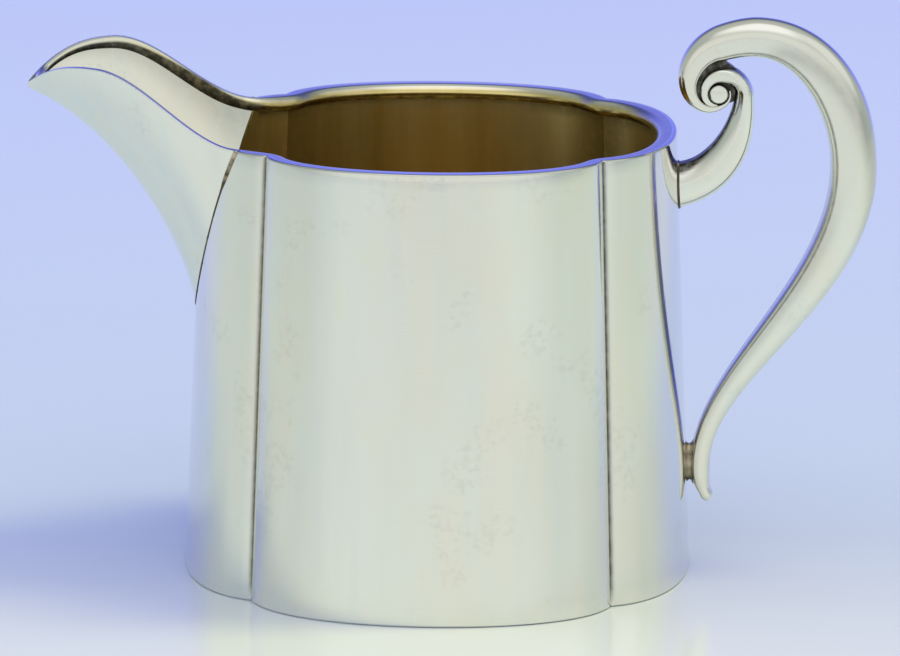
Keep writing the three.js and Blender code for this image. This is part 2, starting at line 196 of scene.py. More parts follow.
def spout_skin(station, across, inset):
    edge_x, edge_z, half = edge_at(station)
    kept = half / (half + inset)
    low = keel_at(station)
    ahead = keel_at(station + KEEL_STEP) - low
    ahead = ahead / np.linalg.norm(ahead, axis=-1, keepdims=True)
    low_x = low[..., 0] - ahead[..., 1] * inset * kept
    low_z = low[..., 1] + ahead[..., 0] * inset * kept
    bend = np.abs(across) ** RIB_FULLNESS
    return np.stack([
        low_x + (edge_x - low_x) * bend,
        across * half * kept,
        low_z + (edge_z - low_z) * bend,
    ], -1)


def station_at_wall(across, inset, into_wall):
    near = np.full_like(across, STATION_SEARCH[0])
    far = np.full_like(across, STATION_SEARCH[1])
    for _ in range(SEARCH_HALVINGS):
        middle = (near + far) / 2
        at = spout_skin(middle, across, inset)
        turn = np.arctan2(at[..., 1], at[..., 0])
        outside = np.hypot(at[..., 0], at[..., 1]) > cup_radius(turn, at[..., 2]) - into_wall
        near = np.where(outside, middle, near)
        far = np.where(outside, far, middle)
    return (near + far) / 2


OPENING_INSET = SPOUT_SHEET / 2
OPENING_POINTS = 161


def opening_top(turns, into_wall):
    across = np.linspace(-1, 1, OPENING_POINTS)
    edge = spout_skin(station_at_wall(across, OPENING_INSET, into_wall), across, OPENING_INSET)
    from_spout = np.arctan2(edge[:, 1], -edge[:, 0])
    asked = np.pi - turns
    height = np.interp(asked, from_spout, edge[:, 2])
    inside = np.abs(asked) < from_spout[-1]
    return np.where(inside, np.minimum(height, CUP_HEIGHT), CUP_HEIGHT)


COLUMNS_PER_LOBE = 104
WALL_ROWS = 30
EDGE_STEPS = 6
COLUMN_CROWDING = 1.9
ROW_CROWDING = 1.7
MOUTH_EXTRA_TURNS = (-0.07, 0.03)
MOUTH_EXTRA_COLUMNS = 21
lobe_share = np.linspace(-1, 1, COLUMNS_PER_LOBE, endpoint=False)
lobe_turn = np.sign(lobe_share) * (1 - (1 - np.abs(lobe_share)) ** COLUMN_CROWDING) * QUARTER / 2
wall_turns = np.concatenate([lobe * QUARTER + lobe_turn for lobe in range(LOBES)])
wall_turns = wall_turns - CREASE_LEAN * np.sin(2 * wall_turns)
mouth_turn = math.asin(SPOUT_MOUTH_HALF / RIM_HALF_WIDTH)
mouth_extra = np.linspace(*MOUTH_EXTRA_TURNS, MOUTH_EXTRA_COLUMNS)
wall_turns = np.sort(np.concatenate([
    wall_turns, np.pi + mouth_turn + mouth_extra, np.pi - mouth_turn - mouth_extra,
]))
top_outside = opening_top(wall_turns, 0.0)
top_inside = opening_top(wall_turns, WALL_SHEET)
wall_rings = []
wall_gilt = []
wall_tarnish_and_shade = []


def add_wall_ring(inset, z, gilt, scored, edge_shade=0.0):
    score = score_share(wall_turns, z, SCORE_HALF_WIDTH) * scored
    score_grime = SCORE_GRIME * score_share(wall_turns, z, SCORE_GRIME_HALF_WIDTH) * scored
    # Painted shade on the gilt inside: darker just under the rim wire, darker towards the handle end,
    # and darker still in the creases there.
    at_handle = ease(np.cos(wall_turns), *GILT_END)
    shadow_end = WIRE_SHADOW[1] + WIRE_SHADOW_DEEPER * at_handle
    under_wire = (top_inside == CUP_HEIGHT) * (1 - ease(CUP_HEIGHT - z, WIRE_SHADOW[0], shadow_end))
    in_crease = np.exp(-((arc_to_crease(wall_turns, z) / GILT_CREASE_REACH) ** 2))
    gilt_shade = (GILT_CREASE_SHADE * in_crease + GILT_END_SHADE) * at_handle
    inside_shade = gilt * np.maximum(WIRE_SHADOW_GRIME * under_wire, gilt_shade)
    radius = cup_radius(wall_turns, z) - inset - SCORE_DEPTH * score
    wall_rings.append(round_axis(wall_turns, radius, z))
    wall_gilt.append(np.full_like(wall_turns, gilt))
    wall_tarnish_and_shade.append(np.maximum(np.maximum(score_grime, inside_shade), edge_shade))


flat = np.zeros_like(wall_turns)
for bend in np.linspace(0, QUARTER, EDGE_STEPS):
    add_wall_ring(FOOT_EDGE * (1 - math.sin(bend)), flat + FOOT_EDGE * (1 - math.cos(bend)), 0, 1)
for share in np.linspace(0, 1, WALL_ROWS)[1:]:
    add_wall_ring(0, FOOT_EDGE + (top_outside - RIM_EDGE - FOOT_EDGE) * share, 0, 1)
# The rim's rounded outer edge is painted darker: painted shade along the edge.
for bend in np.linspace(0, QUARTER, EDGE_STEPS)[1:]:
    add_wall_ring(RIM_EDGE * (1 - math.cos(bend)), top_outside - RIM_EDGE * (1 - math.sin(bend)),
                  0, RIM_EDGE_SCORE, RIM_EDGE_SHADE)
add_wall_ring(WALL_SHEET, top_inside, 0, 0)
for share in np.linspace(0, 1, WALL_ROWS):
    add_wall_ring(WALL_SHEET, (top_inside - GILT_START) * (1 - share**ROW_CROWDING), 1, 0)


def add_nodes(finish):
    finish.use_nodes = True
    tree = finish.node_tree
    tree.nodes.clear()

    def node(kind, inputs=None, **settings):
        made = tree.nodes.new(kind)
        for setting, value in settings.items():
            setattr(made, setting, value)
        for socket, value in (inputs or {}).items():
            if isinstance(value, bpy.types.NodeSocket):
                tree.links.new(value, made.inputs[socket])
            else:
                made.inputs[socket].default_value = value
        return made

    return node


def ramp(node, value, low, high):
    ranged = node("ShaderNodeMapRange", {"Value": value, "From Min": low, "From Max": high})
    return ranged.outputs["Result"]


def blend_colours(node, share, first, second):
    mix = node("ShaderNodeMix", {"Factor": share, "A": first, "B": second}, data_type="RGBA")
    return mix.outputs["Result"]


def times(node, first, second):
    return node("ShaderNodeMath", {0: first, 1: second}, operation="MULTIPLY").outputs["Value"]


def plus(node, first, second):
    return node("ShaderNodeMath", {0: first, 1: second}, operation="ADD").outputs["Value"]


SILVER_BRIGHT = (0.815, 0.825, 0.80, 1)
SILVER_WARM = (0.83, 0.79, 0.72, 1)
SILVER_COOL = (0.75, 0.795, 0.80, 1)
GILT_BRIGHT = (0.88, 0.73, 0.34, 1)
GILT_DEEP = (0.74, 0.56, 0.19, 1)
TARNISH_AND_SHADE = (0.03, 0.027, 0.022, 1)
TARNISH_AND_SHADE_ROUGHNESS = 0.22
STAIN_STRENGTH = 0.9
HAIRLINE_SHARE = 0.3
SCRATCH_ROUGHNESS = 0.03
SCRATCH_DEPTH = 0.15
PLANISHED_RISE = 0.5


def silver_finish(name, polish, streaks, specks, satin):
    finish = bpy.data.materials.new(name)
    node = add_nodes(finish)
    place = node("ShaderNodeTexCoord").outputs["Object"]

    def cloud(scale, detail, stretch=(1, 1, 1), turned=(0, 0, 0)):
        shifted = node("ShaderNodeMapping", {"Vector": place, "Scale": stretch, "Rotation": turned})
        noise = node("ShaderNodeTexNoise", {
            "Vector": shifted.outputs["Vector"], "Scale": scale, "Detail": detail, "Roughness": 0.6,
        })
        return noise.outputs["Fac"]

    gilt = node("ShaderNodeAttribute", attribute_name="gilt").outputs["Fac"]
    # This mark holds real tarnish in the crease scores and painted shade and painted reflection laid on
    # the other pieces; where it is high the colour goes dark and the surface rougher.
    tarnish_and_shade_mark = node("ShaderNodeAttribute", attribute_name="tarnish_and_shade").outputs["Fac"]
    stain = ramp(node, cloud(scale=55, detail=4, stretch=(1, 1, 0.5)), low=0.42, high=0.68)
    streak = ramp(node, cloud(scale=240, detail=3, stretch=(1, 1, 0.05)), low=0.45, high=0.7)
    bright = blend_colours(node, times(node, stain, STAIN_STRENGTH), SILVER_BRIGHT, SILVER_WARM)
    silver = blend_colours(node, times(node, streak, streaks), bright, SILVER_COOL)
    gold_streak = ramp(node, cloud(scale=150, detail=4, stretch=(1, 1, 0.08)), low=0.35, high=0.7)
    gold = blend_colours(node, gold_streak, GILT_BRIGHT, GILT_DEEP)
    washed = blend_colours(node, gilt, silver, gold)
    patchy = node("ShaderNodeMapRange", {
        "Value": cloud(scale=700, detail=4), "From Min": 0.35, "From Max": 0.55, "To Min": 0.82,
    }).outputs["Result"]
    speckled_patch = ramp(node, cloud(scale=60, detail=3), low=0.45, high=0.62)
    speck = ramp(node, times(node, cloud(scale=900, detail=5), speckled_patch), low=0.47, high=0.62)
    darkening = node("ShaderNodeMath", {0: times(node, speck, specks), 1: times(node, tarnish_and_shade_mark, patchy)},
                 operation="MAXIMUM")
    darkened = darkening.outputs["Value"]
    colour = blend_colours(node, darkened, washed, TARNISH_AND_SHADE)

    long_cloud = cloud(scale=60, detail=2, stretch=(1, 1, 55), turned=(0.5, 0.3, 0))
    hairline = ramp(node, long_cloud, low=0.62, high=0.7)
    cross_cloud = cloud(scale=70, detail=2, stretch=(40, 40, 1), turned=(0.2, -0.4, 0.6))
    cross_hairline = ramp(node, cross_cloud, low=0.64, high=0.72)
    scratches = plus(node, times(node, hairline, HAIRLINE_SHARE), cross_hairline)
    worn = times(node, scratches, SCRATCH_ROUGHNESS)
    dull = plus(node, times(node, darkened, TARNISH_AND_SHADE_ROUGHNESS), times(node, gilt, satin))
    roughness = plus(node, plus(node, worn, polish), dull)
    planished = times(node, cloud(scale=110, detail=2), PLANISHED_RISE)
    relief = node("ShaderNodeBump", {
        "Height": plus(node, times(node, scratches, -SCRATCH_DEPTH), planished),
        "Strength": 0.03, "Distance": 0.0006,
    })
    metal = node("ShaderNodeBsdfPrincipled", {
        "Base Color": colour, "Roughness": roughness, "Metallic": 1.0,
        "Normal": relief.outputs["Normal"],
    })
    node("ShaderNodeOutputMaterial", {"Surface": metal.outputs["BSDF"]})
    return finish


silver_sheet = silver_finish("silver_sheet", polish=0.075, streaks=0.7, specks=0.07, satin=0.24)
body_wall = make_piece(
    "body_wall", np.stack(wall_rings),
    grid_faces(len(wall_rings), len(wall_turns), rows_close=True, columns_close=True), silver_sheet,
)
mark(body_wall, "gilt", np.stack(wall_gilt))
mark(body_wall, "tarnish_and_shade", np.stack(wall_tarnish_and_shade))
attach(body_wall, "root")
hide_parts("body_wall")


# Base plate
# A flat lobed plate of the same sheet, let into the foot of the wall and soldered round its
# edge. The solder makes a small hollow fillet inside, and the upper face is gilt with the cup.
PLATE_TOP = 1.0
PLATE_FILLET = 1.1
PLATE_DISH = 0.18
PLATE_RINGS = 26
PLATE_HUB = 0.04
plate_turns = wall_turns[::2]
plate_rings = []
plate_gilt = []
for share in np.linspace(PLATE_HUB, 1, PLATE_RINGS):
    radius = (cup_radius(plate_turns, flat[::2]) - WALL_SHEET) * share
    plate_rings.append(round_axis(plate_turns, radius, PLATE_DISH * (1 - share**2) + 0 * radius))
    plate_gilt.append(np.zeros_like(plate_turns))
for share in np.linspace(1, PLATE_HUB, 2 * PLATE_RINGS):
    radius = (cup_radius(plate_turns, flat[::2] + PLATE_TOP) - WALL_SHEET) * share
    to_wall = np.minimum(half_width_at(PLATE_TOP) * (1 - share), PLATE_FILLET)
    hollow = PLATE_FILLET - np.sqrt(PLATE_FILLET**2 - (PLATE_FILLET - to_wall) ** 2)
    plate_rings.append(round_axis(plate_turns, radius, PLATE_TOP + hollow + 0 * radius))
    plate_gilt.append(np.ones_like(plate_turns))
plate_faces = grid_faces(len(plate_rings), len(plate_turns), columns_close=True)
plate_points = np.stack(plate_rings).reshape(-1, 3)
plate_count = len(plate_turns)
under_middle = len(plate_points)
plate_points = np.vstack([plate_points, [[0, 0, PLATE_DISH], [0, 0, PLATE_TOP]]])
top_start = under_middle - plate_count
for column in range(plate_count):
    beside = (column + 1) % plate_count
    plate_faces.append((under_middle, beside, column))
    plate_faces.append((under_middle + 1, top_start + column, top_start + beside))
base_plate = make_piece("base_plate", plate_points, plate_faces, silver_sheet)
mark(base_plate, "gilt", np.concatenate([np.stack(plate_gilt).ravel(), [0, 1]]))
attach(base_plate, "root")
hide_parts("base_plate")


# Spout
# A beak bent from one sheet, closed along its keel and soldered to the wall over the opening.
# Its inside is silver with a trace of the gilding. Its upper edges are filed flat, with the
# outer corner taken off.
SPOUT_LINES = 73
SPOUT_STATIONS = 66
LIP_CORNER = 0.28
SPOUT_WARMTH = 0.1
SPOUT_WIRE_SHADOW = 0.3
SPOUT_WIRE_SHADOW_ACROSS = (0.82, 0.98)
TINY_LENGTH = 1e-9
LIP_STEPS = ((0.05, -0.11), (0.16, -0.025), (0.32, 0.0))
spout_across = np.sin(np.linspace(-1, 1, SPOUT_LINES) * QUARTER)
spout_share = np.linspace(0, 1, SPOUT_STATIONS)[:, None]
outer_end = station_at_wall(spout_across, 0.0, 0.0)
inner_start = SPOUT_SHEET / (SPOUT_MOUTH_X - SPOUT_TIP[0])
inner_end = station_at_wall(spout_across, SPOUT_SHEET, WALL_SHEET)
spout_outside = spout_skin(outer_end * spout_share, spout_across + 0 * spout_share, 0.0)
spout_inside = spout_skin(
    inner_start + (inner_end - inner_start) * spout_share, spout_across + 0 * spout_share, SPOUT_SHEET,
)


def thick_sheet(outside, inside, corner, steps):
    rows, columns = outside.shape[:2]
    border = [(row, 0) for row in range(rows)]
    border += [(rows - 1, column) for column in range(1, columns)]
    border += [(row, columns - 1) for row in range(rows - 2, -1, -1)]
    border += [(0, column) for column in range(columns - 2, 0, -1)]
    outside = outside.copy()
    lift = np.zeros((len(border), 3))
    for i, (row, column) in enumerate(border):
        if column in (0, columns - 1):
            inner_column = 1 if column == 0 else columns - 2
            away = outside[row, column] - outside[row, inner_column]
            lift[i] = away / max(np.linalg.norm(away), TINY_LENGTH)
    outer_edge = np.array([outside[spot] for spot in border])
    inner_edge = np.array([inside[spot] for spot in border])
    for spot, low in zip(border, outer_edge - corner * lift):
        outside[spot] = low
    lips = [outer_edge + (inner_edge - outer_edge) * share + rise * lift for share, rise in steps]
    points = np.vstack([outside.reshape(-1, 3), inside.reshape(-1, 3)] + lips)
    count = rows * columns
    faces = grid_faces(rows, columns)
    faces += [tuple(count + i for i in face[::-1]) for face in grid_faces(rows, columns)]
    loops = [[row * columns + column for row, column in border]]
    loops += [[2 * count + k * len(border) + i for i in range(len(border))] for k in range(len(steps))]
    loops.append([count + i for i in loops[0]])
    for first, second in zip(loops, loops[1:]):
        for i in range(len(border)):
            after = (i + 1) % len(border)
            faces.append((first[i], first[after], second[after], second[i]))
    return points, faces


spout_sheet = thick_sheet(spout_outside, spout_inside, LIP_CORNER, LIP_STEPS)
spout = make_piece("spout", *spout_sheet, silver_sheet)
inside_count = spout_across.size * SPOUT_STATIONS
inside_rest = len(spout.data.vertices) - 2 * inside_count
lip_shadow = SPOUT_WIRE_SHADOW * ease(np.abs(spout_across), *SPOUT_WIRE_SHADOW_ACROSS)
spout_marks = {"gilt": np.full_like(spout_across, SPOUT_WARMTH), "tarnish_and_shade": lip_shadow}
for layer_name, inside_values in spout_marks.items():
    mark(spout, layer_name, np.concatenate([
        np.zeros(inside_count), np.tile(inside_values, SPOUT_STATIONS), np.zeros(inside_rest)]))
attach(spout, "root")
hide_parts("spout")


# Rim band and spout band
# One flat silver wire with a rounded inner face, soldered inside the top of the wall and carried
# on, thinner, inside the spout's edges and round its tip. Gilding covers its inner face.
RIM_PATH_POINTS = 700
SPOUT_PATH_POINTS = 120
PATH_STEP = 0.4
TIP_SETBACK = 1.3
CORNER_REACH = 3.0
CREASE_REACH = 2.6
CORNER_PASSES = 16
SOFTENING = 0.5
TIP_SOFT_POINTS = 6
LEAN_PASSES = 40
LEAN_ACROSS = 0.93
WIRE_SUNK = 0.02
RIM_WIRE = (2.6, 2.4)
RIM_WIRE_FORM = (0.5, 0.65)
RIM_WIRE_SHADE_DEPTHS = (0.48, 0.85)
RIM_WIRE_SHADE = 0.92
RIM_END_DARKENING = 0.4
RIM_ENDS = (0.1, 0.85)
SPOUT_WIRE = (0.75, 2.0)
SPOUT_WIRE_FORM = (0.3, 0.5)
SPOUT_BAND_SHADE_DEPTHS = (0.42, 0.62)
SPOUT_BAND_SHADE = 0.95
SPOUT_MIDDLE_SHADE = 0.42
SPOUT_MIDDLE_X = -39.0
SPOUT_MIDDLE_REACH = 7.0
SPOUT_GILDING = (0.75, 0.2)
SPOUT_GILDING_X = (-38.0, -58.0)
WIRE_CHANGE = (-4.0, 3.0)
TIP_WIRE_HEIGHT = 1.15
TIP_WIRE_X = (-52.0, -64.5)
TIP_OVERLAP = 0.02
WIRE_UNDERCUT = 0.22
WIRE_UPRIGHT = 0.7
WIRE_SECTION_STEPS = 8
WIRE_FLAT_POINTS = 2
WIRE_GILDING = (0.28, 0.75)
spout_stations = np.linspace(float(inner_end[-1]), TIP_SETBACK * inner_start, SPOUT_PATH_POINTS)
spout_side = spout_skin(spout_stations, np.ones_like(spout_stations), SPOUT_SHEET)
corner_turn = math.atan2(spout_side[0, 1], spout_side[0, 0])
rim_turns = np.linspace(0, corner_turn, RIM_PATH_POINTS)
rim_side = round_axis(rim_turns, cup_radius(rim_turns, CUP_HEIGHT + 0 * rim_turns) - WALL_SHEET,
                      CUP_HEIGHT + 0 * rim_turns)
spout_below = spout_skin(spout_stations, np.full_like(spout_stations, LEAN_ACROSS), SPOUT_SHEET)
spout_lean = spout_below - spout_side
spout_lean /= np.linalg.norm(spout_lean, axis=1, keepdims=True)
spout_lean = spout_lean - [0, 0, WIRE_UPRIGHT]
spout_lean /= np.linalg.norm(spout_lean, axis=1, keepdims=True)
one_side = np.vstack([rim_side, spout_side[1:]]) - [0, 0, WIRE_SUNK]
one_lean = np.vstack([np.tile([0.0, 0.0, -1.0], (len(rim_side), 1)), spout_lean[1:]])
lengths = np.concatenate([[0], np.cumsum(np.linalg.norm(np.diff(one_side, axis=0), axis=1))])
corner_at = lengths[len(rim_side) - 1]
spots = np.linspace(0, lengths[-1], int(lengths[-1] / PATH_STEP))
half_path = np.stack([np.interp(spots, lengths, one_side[:, axis]) for axis in range(3)], -1)
half_lean = np.stack([np.interp(spots, lengths, one_lean[:, axis]) for axis in range(3)], -1)
mirror = np.array([1, -1, 1])
wire_path = np.vstack([half_path, (half_path * mirror)[::-1][:-1]])
wire_down = np.vstack([half_lean, (half_lean * mirror)[::-1][:-1]])
wire_from_corner = np.concatenate([spots - corner_at, (spots - corner_at)[::-1][:-1]])
wire_from_crease = arc_to_crease(np.arctan2(wire_path[:, 1], wire_path[:, 0]), CUP_HEIGHT)
at_corner = np.exp(-((wire_from_corner / CORNER_REACH) ** 2))
at_crease = np.exp(-((wire_from_crease / CREASE_REACH) ** 2)) * (wire_from_corner < 0)
softness = SOFTENING * np.maximum(at_corner, at_crease)[:, None]
tip_index = len(half_path)
softness[tip_index - TIP_SOFT_POINTS:tip_index + TIP_SOFT_POINTS] = SOFTENING
for _ in range(CORNER_PASSES):
    neighbours = (np.roll(wire_path, 1, axis=0) + np.roll(wire_path, -1, axis=0)) / 2
    wire_path = wire_path + softness * (neighbours - wire_path)

for _ in range(LEAN_PASSES):
    neighbours = (np.roll(wire_down, 1, axis=0) + np.roll(wire_down, -1, axis=0)) / 2
    wire_down = (wire_down + neighbours) / 2

wire_along = np.roll(wire_path, -1, axis=0) - np.roll(wire_path, 1, axis=0)
wire_along /= np.linalg.norm(wire_along, axis=1, keepdims=True)
wire_inward = np.cross(wire_along, wire_down)
wire_inward /= np.linalg.norm(wire_inward, axis=1, keepdims=True)
wire_up = np.cross(wire_along, wire_inward)
wire_up *= np.sign(wire_up[:, 2:3])
on_spout = ease(wire_from_corner, *WIRE_CHANGE)
room = np.abs(wire_path[:, 1])
wire_width = RIM_WIRE[0] + (SPOUT_WIRE[0] - RIM_WIRE[0]) * on_spout
wire_width = np.where(wire_from_corner > 0, np.minimum(wire_width, room + TIP_OVERLAP), wire_width)
to_tip = ease(wire_path[:, 0], *TIP_WIRE_X)
wire_height = RIM_WIRE[1] + (SPOUT_WIRE[1] - RIM_WIRE[1]) * on_spout
wire_height = wire_height + (TIP_WIRE_HEIGHT - wire_height) * to_tip


def wire_profile(flat, rounding):
    profile = [(0.0, 0.0), (flat / 2, 0.0)]
    for bend in np.linspace(0, QUARTER, WIRE_SECTION_STEPS):
        profile.append((flat + (1 - flat) * math.sin(bend), -rounding * (1 - math.cos(bend))))
    for share in np.linspace(0, 1, WIRE_SECTION_STEPS)[1:]:
        profile.append((1 - WIRE_UNDERCUT * share**2, -rounding - (1 - rounding) * share))
    return np.array(profile + [(0.0, -1.0)])


rim_profile = wire_profile(*RIM_WIRE_FORM)
along_wire = on_spout[:, None]
wire_profiles = rim_profile + (wire_profile(*SPOUT_WIRE_FORM) - rim_profile) * along_wire[..., None]
wire_grid = (
    wire_path[:, None] + wire_inward[:, None] * (wire_width[:, None] * wire_profiles[..., 0])[..., None]
    + wire_up[:, None] * (wire_height[:, None] * wire_profiles[..., 1])[..., None]
)
round_steps = np.arange(len(rim_profile)) - WIRE_FLAT_POINTS
wire_gilding = ease(round_steps / WIRE_SECTION_STEPS, *WIRE_GILDING)
wire_depth = -wire_profiles[..., 1]
# Painted shade: the lower part of the wire's inner face is darkened, reaching higher in the middle of
# the spout's edges. The rim wire is also darker towards both ends.
from_middle = (wire_path[:, :1] - SPOUT_MIDDLE_X) / SPOUT_MIDDLE_REACH
mid_spout = SPOUT_MIDDLE_SHADE * np.exp(-(from_middle**2))
rim_ends = ease(np.abs(wire_path[:, :1]) / RIM_HALF_WIDTH, *RIM_ENDS)
rim_darkening = np.maximum(RIM_WIRE_SHADE * ease(wire_depth, *RIM_WIRE_SHADE_DEPTHS), RIM_END_DARKENING * rim_ends)
spout_band_shade = SPOUT_BAND_SHADE * ease(wire_depth + mid_spout, *SPOUT_BAND_SHADE_DEPTHS)
wire_darkening = (1 - along_wire) * rim_darkening + along_wire * spout_band_shade


def capped(rings):
    rows, columns = rings.shape[:2]
    faces = grid_faces(rows, columns, columns_close=True)
    first_end = tuple(range(columns))
    last_end = tuple((rows - 1) * columns + i for i in reversed(range(columns)))
    return rings, faces + [first_end, last_end]


def wire_piece(name, indices, gilding, finish):
    piece = make_piece(name, *capped(wire_grid[indices]), finish)
    mark(piece, "gilt", np.outer(gilding, wire_gilding))
    mark(piece, "tarnish_and_shade", wire_darkening[indices])
    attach(piece, "root")
    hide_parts(name)
    return piece


gilt_band = silver_finish("gilt_band", polish=0.085, streaks=0.3, specks=0.06, satin=0.05)
corner_index = int(np.argmin(np.abs(wire_from_corner[:tip_index])))
spout_wire = np.arange(corner_index, len(wire_path) - corner_index + 1)
rim_wire = np.concatenate([np.arange(len(wire_path) - corner_index, len(wire_path)),
                           np.arange(0, corner_index + 1)])
rim_band = wire_piece("rim_band", rim_wire, np.ones(len(rim_wire)), gilt_band)
to_gilding_end = ease(wire_path[spout_wire, 0], *SPOUT_GILDING_X)
spout_gilding = SPOUT_GILDING[0] + (SPOUT_GILDING[1] - SPOUT_GILDING[0]) * to_gilding_end
spout_band = wire_piece("spout_band", spout_wire, spout_gilding, silver_sheet)


# Solder line of the spout
# The thin run of silver solder left where the spout's sheet meets the wall. It is duller than
# the silver and has gone brown.
SOLDER_LIGHT = (0.60, 0.52, 0.40, 1)
SOLDER_DARK = (0.10, 0.08, 0.055, 1)
SOLDER_ROUGHNESS = 0.25
SOLDER_GRAIN_ROUGHNESS = 0.3
FLUX_DARKENING = 0.2
SEAM_POINTS = 150
SEAM_RADIUS = 0.14
SEAM_TOP_RADIUS = 0.4
SEAM_TOP = (0.86, 0.95)
SEAM_TOP_WIPED = 1.5
SEAM_TRIM = 0.998
SEAM_SIDES = 8
SEAM_SEED = 7
SEAM_UNSTEADINESS = 0.16


def solder_finish(name):
    finish = bpy.data.materials.new(name)
    node = add_nodes(finish)
    place = node("ShaderNodeTexCoord").outputs["Object"]
    lumps = node("ShaderNodeTexNoise", {"Vector": place, "Scale": 420, "Detail": 4}).outputs["Fac"]
    grains = node("ShaderNodeTexNoise", {"Vector": place, "Scale": 2600, "Detail": 3}).outputs["Fac"]
    flux = node("ShaderNodeAttribute", attribute_name="flux").outputs["Fac"]
    stained = plus(node, lumps, times(node, flux, -FLUX_DARKENING))
    colour = blend_colours(node, ramp(node, stained, low=0.36, high=0.64), SOLDER_DARK, SOLDER_LIGHT)
    relief = node("ShaderNodeBump", {"Height": grains, "Strength": 0.3, "Distance": 0.0001})
    roughness = plus(node, times(node, grains, SOLDER_GRAIN_ROUGHNESS), SOLDER_ROUGHNESS)
    metal = node("ShaderNodeBsdfPrincipled", {
        "Base Color": colour, "Roughness": roughness, "Metallic": 1.0,
        "Normal": relief.outputs["Normal"],
    })
    node("ShaderNodeOutputMaterial", {"Surface": metal.outputs["BSDF"]})
    return finish


def bead_along(line, radii, sides):
    ahead = np.gradient(line, axis=0)
    ahead /= np.linalg.norm(ahead, axis=1, keepdims=True)
    out = line * [1, 1, 0]
    out /= np.linalg.norm(out, axis=1, keepdims=True)
    out = out - ahead * np.sum(out * ahead, axis=1, keepdims=True)
    out /= np.linalg.norm(out, axis=1, keepdims=True)
    beside = np.cross(ahead, out)
    spins = np.linspace(0, 2 * math.pi, sides, endpoint=False)
    rings = np.stack([
        line + (out * math.cos(spin) + beside * math.sin(spin)) * radii[:, None] for spin in spins
    ], 1)
    return capped(rings)


solder = solder_finish("solder")
seam_across = np.linspace(-SEAM_TRIM, SEAM_TRIM, SEAM_POINTS)
seam_line = spout_skin(station_at_wall(seam_across, 0.0, 0.0), seam_across, 0.0)
unsteady = np.random.default_rng(SEAM_SEED).normal(0, SEAM_UNSTEADINESS, SEAM_POINTS)
near_rim = ease(np.abs(seam_across), *SEAM_TOP)
seam_radii = SEAM_RADIUS + (SEAM_TOP_RADIUS - SEAM_RADIUS) * near_rim
seam_radii *= 1 + np.convolve(unsteady, np.ones(3) / 3, mode="same")
spout_seam = make_piece("spout_seam", *bead_along(seam_line, seam_radii, SEAM_SIDES), solder)
mark(spout_seam, "flux", np.outer(1 - SEAM_TOP_WIPED * near_rim, np.ones(SEAM_SIDES)))
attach(spout_seam, "root")


# Handle loop
# A solid silver casting: round outside, with a crisp corner before a low ridge on its inner
# side. It starts in the coil of the scroll, swells over the top, and runs down to a small tail.
EYE = np.array([44.42, 77.88])
BEAD_RADIUS = 1.5
COIL_PLAY = 0.22
COIL_SOFTNESS = 0.25
LOOP_PITCH = 6.9
LOOP_COIL_START = 90
LOOP_COIL_SIDE = 180
LOOP_COIL_CLOSED = 272
LOOP_COIL_END = 378
LOOP_TAPERS = (0.525, 0.611)
CREST = np.array([50.2, 87.0])
CREST_PULL_X = 59.05
WIDEST = np.array([66.19, 65.8])
WIDEST_PULLS_Z = (78.0, 45.22)
FOOT = np.array([42.5, 16.8])
FOOT_PULL_Z = 31.99
FOOT_PULL_DOWN = 2.9
TAIL = np.array([43.55, 11.8])
TAIL_PULL = np.array([-0.6, 1.3])
COIL_SIDE_DEPTH = 2.45
CREST_DEPTH = 6.2
WIDEST_DEPTH = 7.4
FOOT_DEPTH = 3.1
TAIL_DEPTH = 2.1
SHOULDER_FULLER = 0.57
COIL_TIP_WIDTH = 3.6
SHOULDER_WIDTH = 5.0
CREST_WIDTH = 5.6
WIDEST_WIDTH = 6.6
FOOT_WIDTH = 4.0
TAIL_WIDTH = 3.6
COIL_STATIONS = 90
CURVE_STATIONS = 56
SHORT_STATIONS = 18
END_STATIONS = 9
END_TURN = 0.96
END_WIDTH_FULLNESS = 0.3
LOOP_SECTION = (-0.74, 0.5, 2.15)
LOOP_COIL_SECTION = (-0.9, 0.85, 2.3)
LOOP_COIL_BLEND = (95, 150)
LOOP_FOOT_SECTION = (-0.72, 0.4, 2.3)
LOOP_FOOT_BLEND = (34.0, 20.0)
SLOPE_SWELL = 0.05
OUTER_STEPS = 15
SIDE_STEPS = 8
SLOPE_STEPS = 9
SLOPE_STEPS_DARK = 3
KEEL_STEPS = 5
EYE_DARK = 1.6
LOOP_EYE_SHADOW = 5.4
LOOP_KEEL_SHADE = 0.3
LOOP_CORNER_SHADE = 0.75
LOOP_SIDE_SHADE = 0.24
LOOP_SIDE_SPAN = (0.0, 0.6)
LOOP_SIDE_HEIGHT = (68.0, 50.0)
LOOP_BAND_REFLECTION = 0.26
LOOP_BAND_HALF = 0.38
LOOP_BAND_DRIFT = (-0.65, 1.5)
LOOP_BAND_START = (0.0, 0.2)
LOOP_BAND_END = (1.0, 1.35)


def coil(pitch, depth, depth_from, tapers, start, closed, end, widths):
    turn = np.radians(np.linspace(start, end, COIL_STATIONS))
    since = turn - math.radians(depth_from)
    here = depth * np.exp(-since * np.where(since < 0, tapers[0], tapers[1]))
    left = math.radians(closed) - turn
    left = (left + np.sqrt(left**2 + COIL_SOFTNESS**2)) / 2
    middle = BEAD_RADIUS + COIL_PLAY + pitch * left / (2 * math.pi) + here / 2
    line = EYE + np.stack([np.cos(turn), np.sin(turn)], -1) * middle[:, None]
    return line, here, np.linspace(widths[0], widths[1], COIL_STATIONS)


def stretch(first, pull_first, pull_last, last, count, depths, widths, steady=False, fuller=0.0):
    share = np.linspace(0, 1, count + 1)[1:]
    eased = share if steady else ease(share, 0, 1)
    line = cubic(first, pull_first, pull_last, last, share)
    depth = depths[0] + (depths[1] - depths[0]) * eased + fuller * np.sin(math.pi * share) ** 2
    return line, depth, widths[0] + (widths[1] - widths[0]) * eased


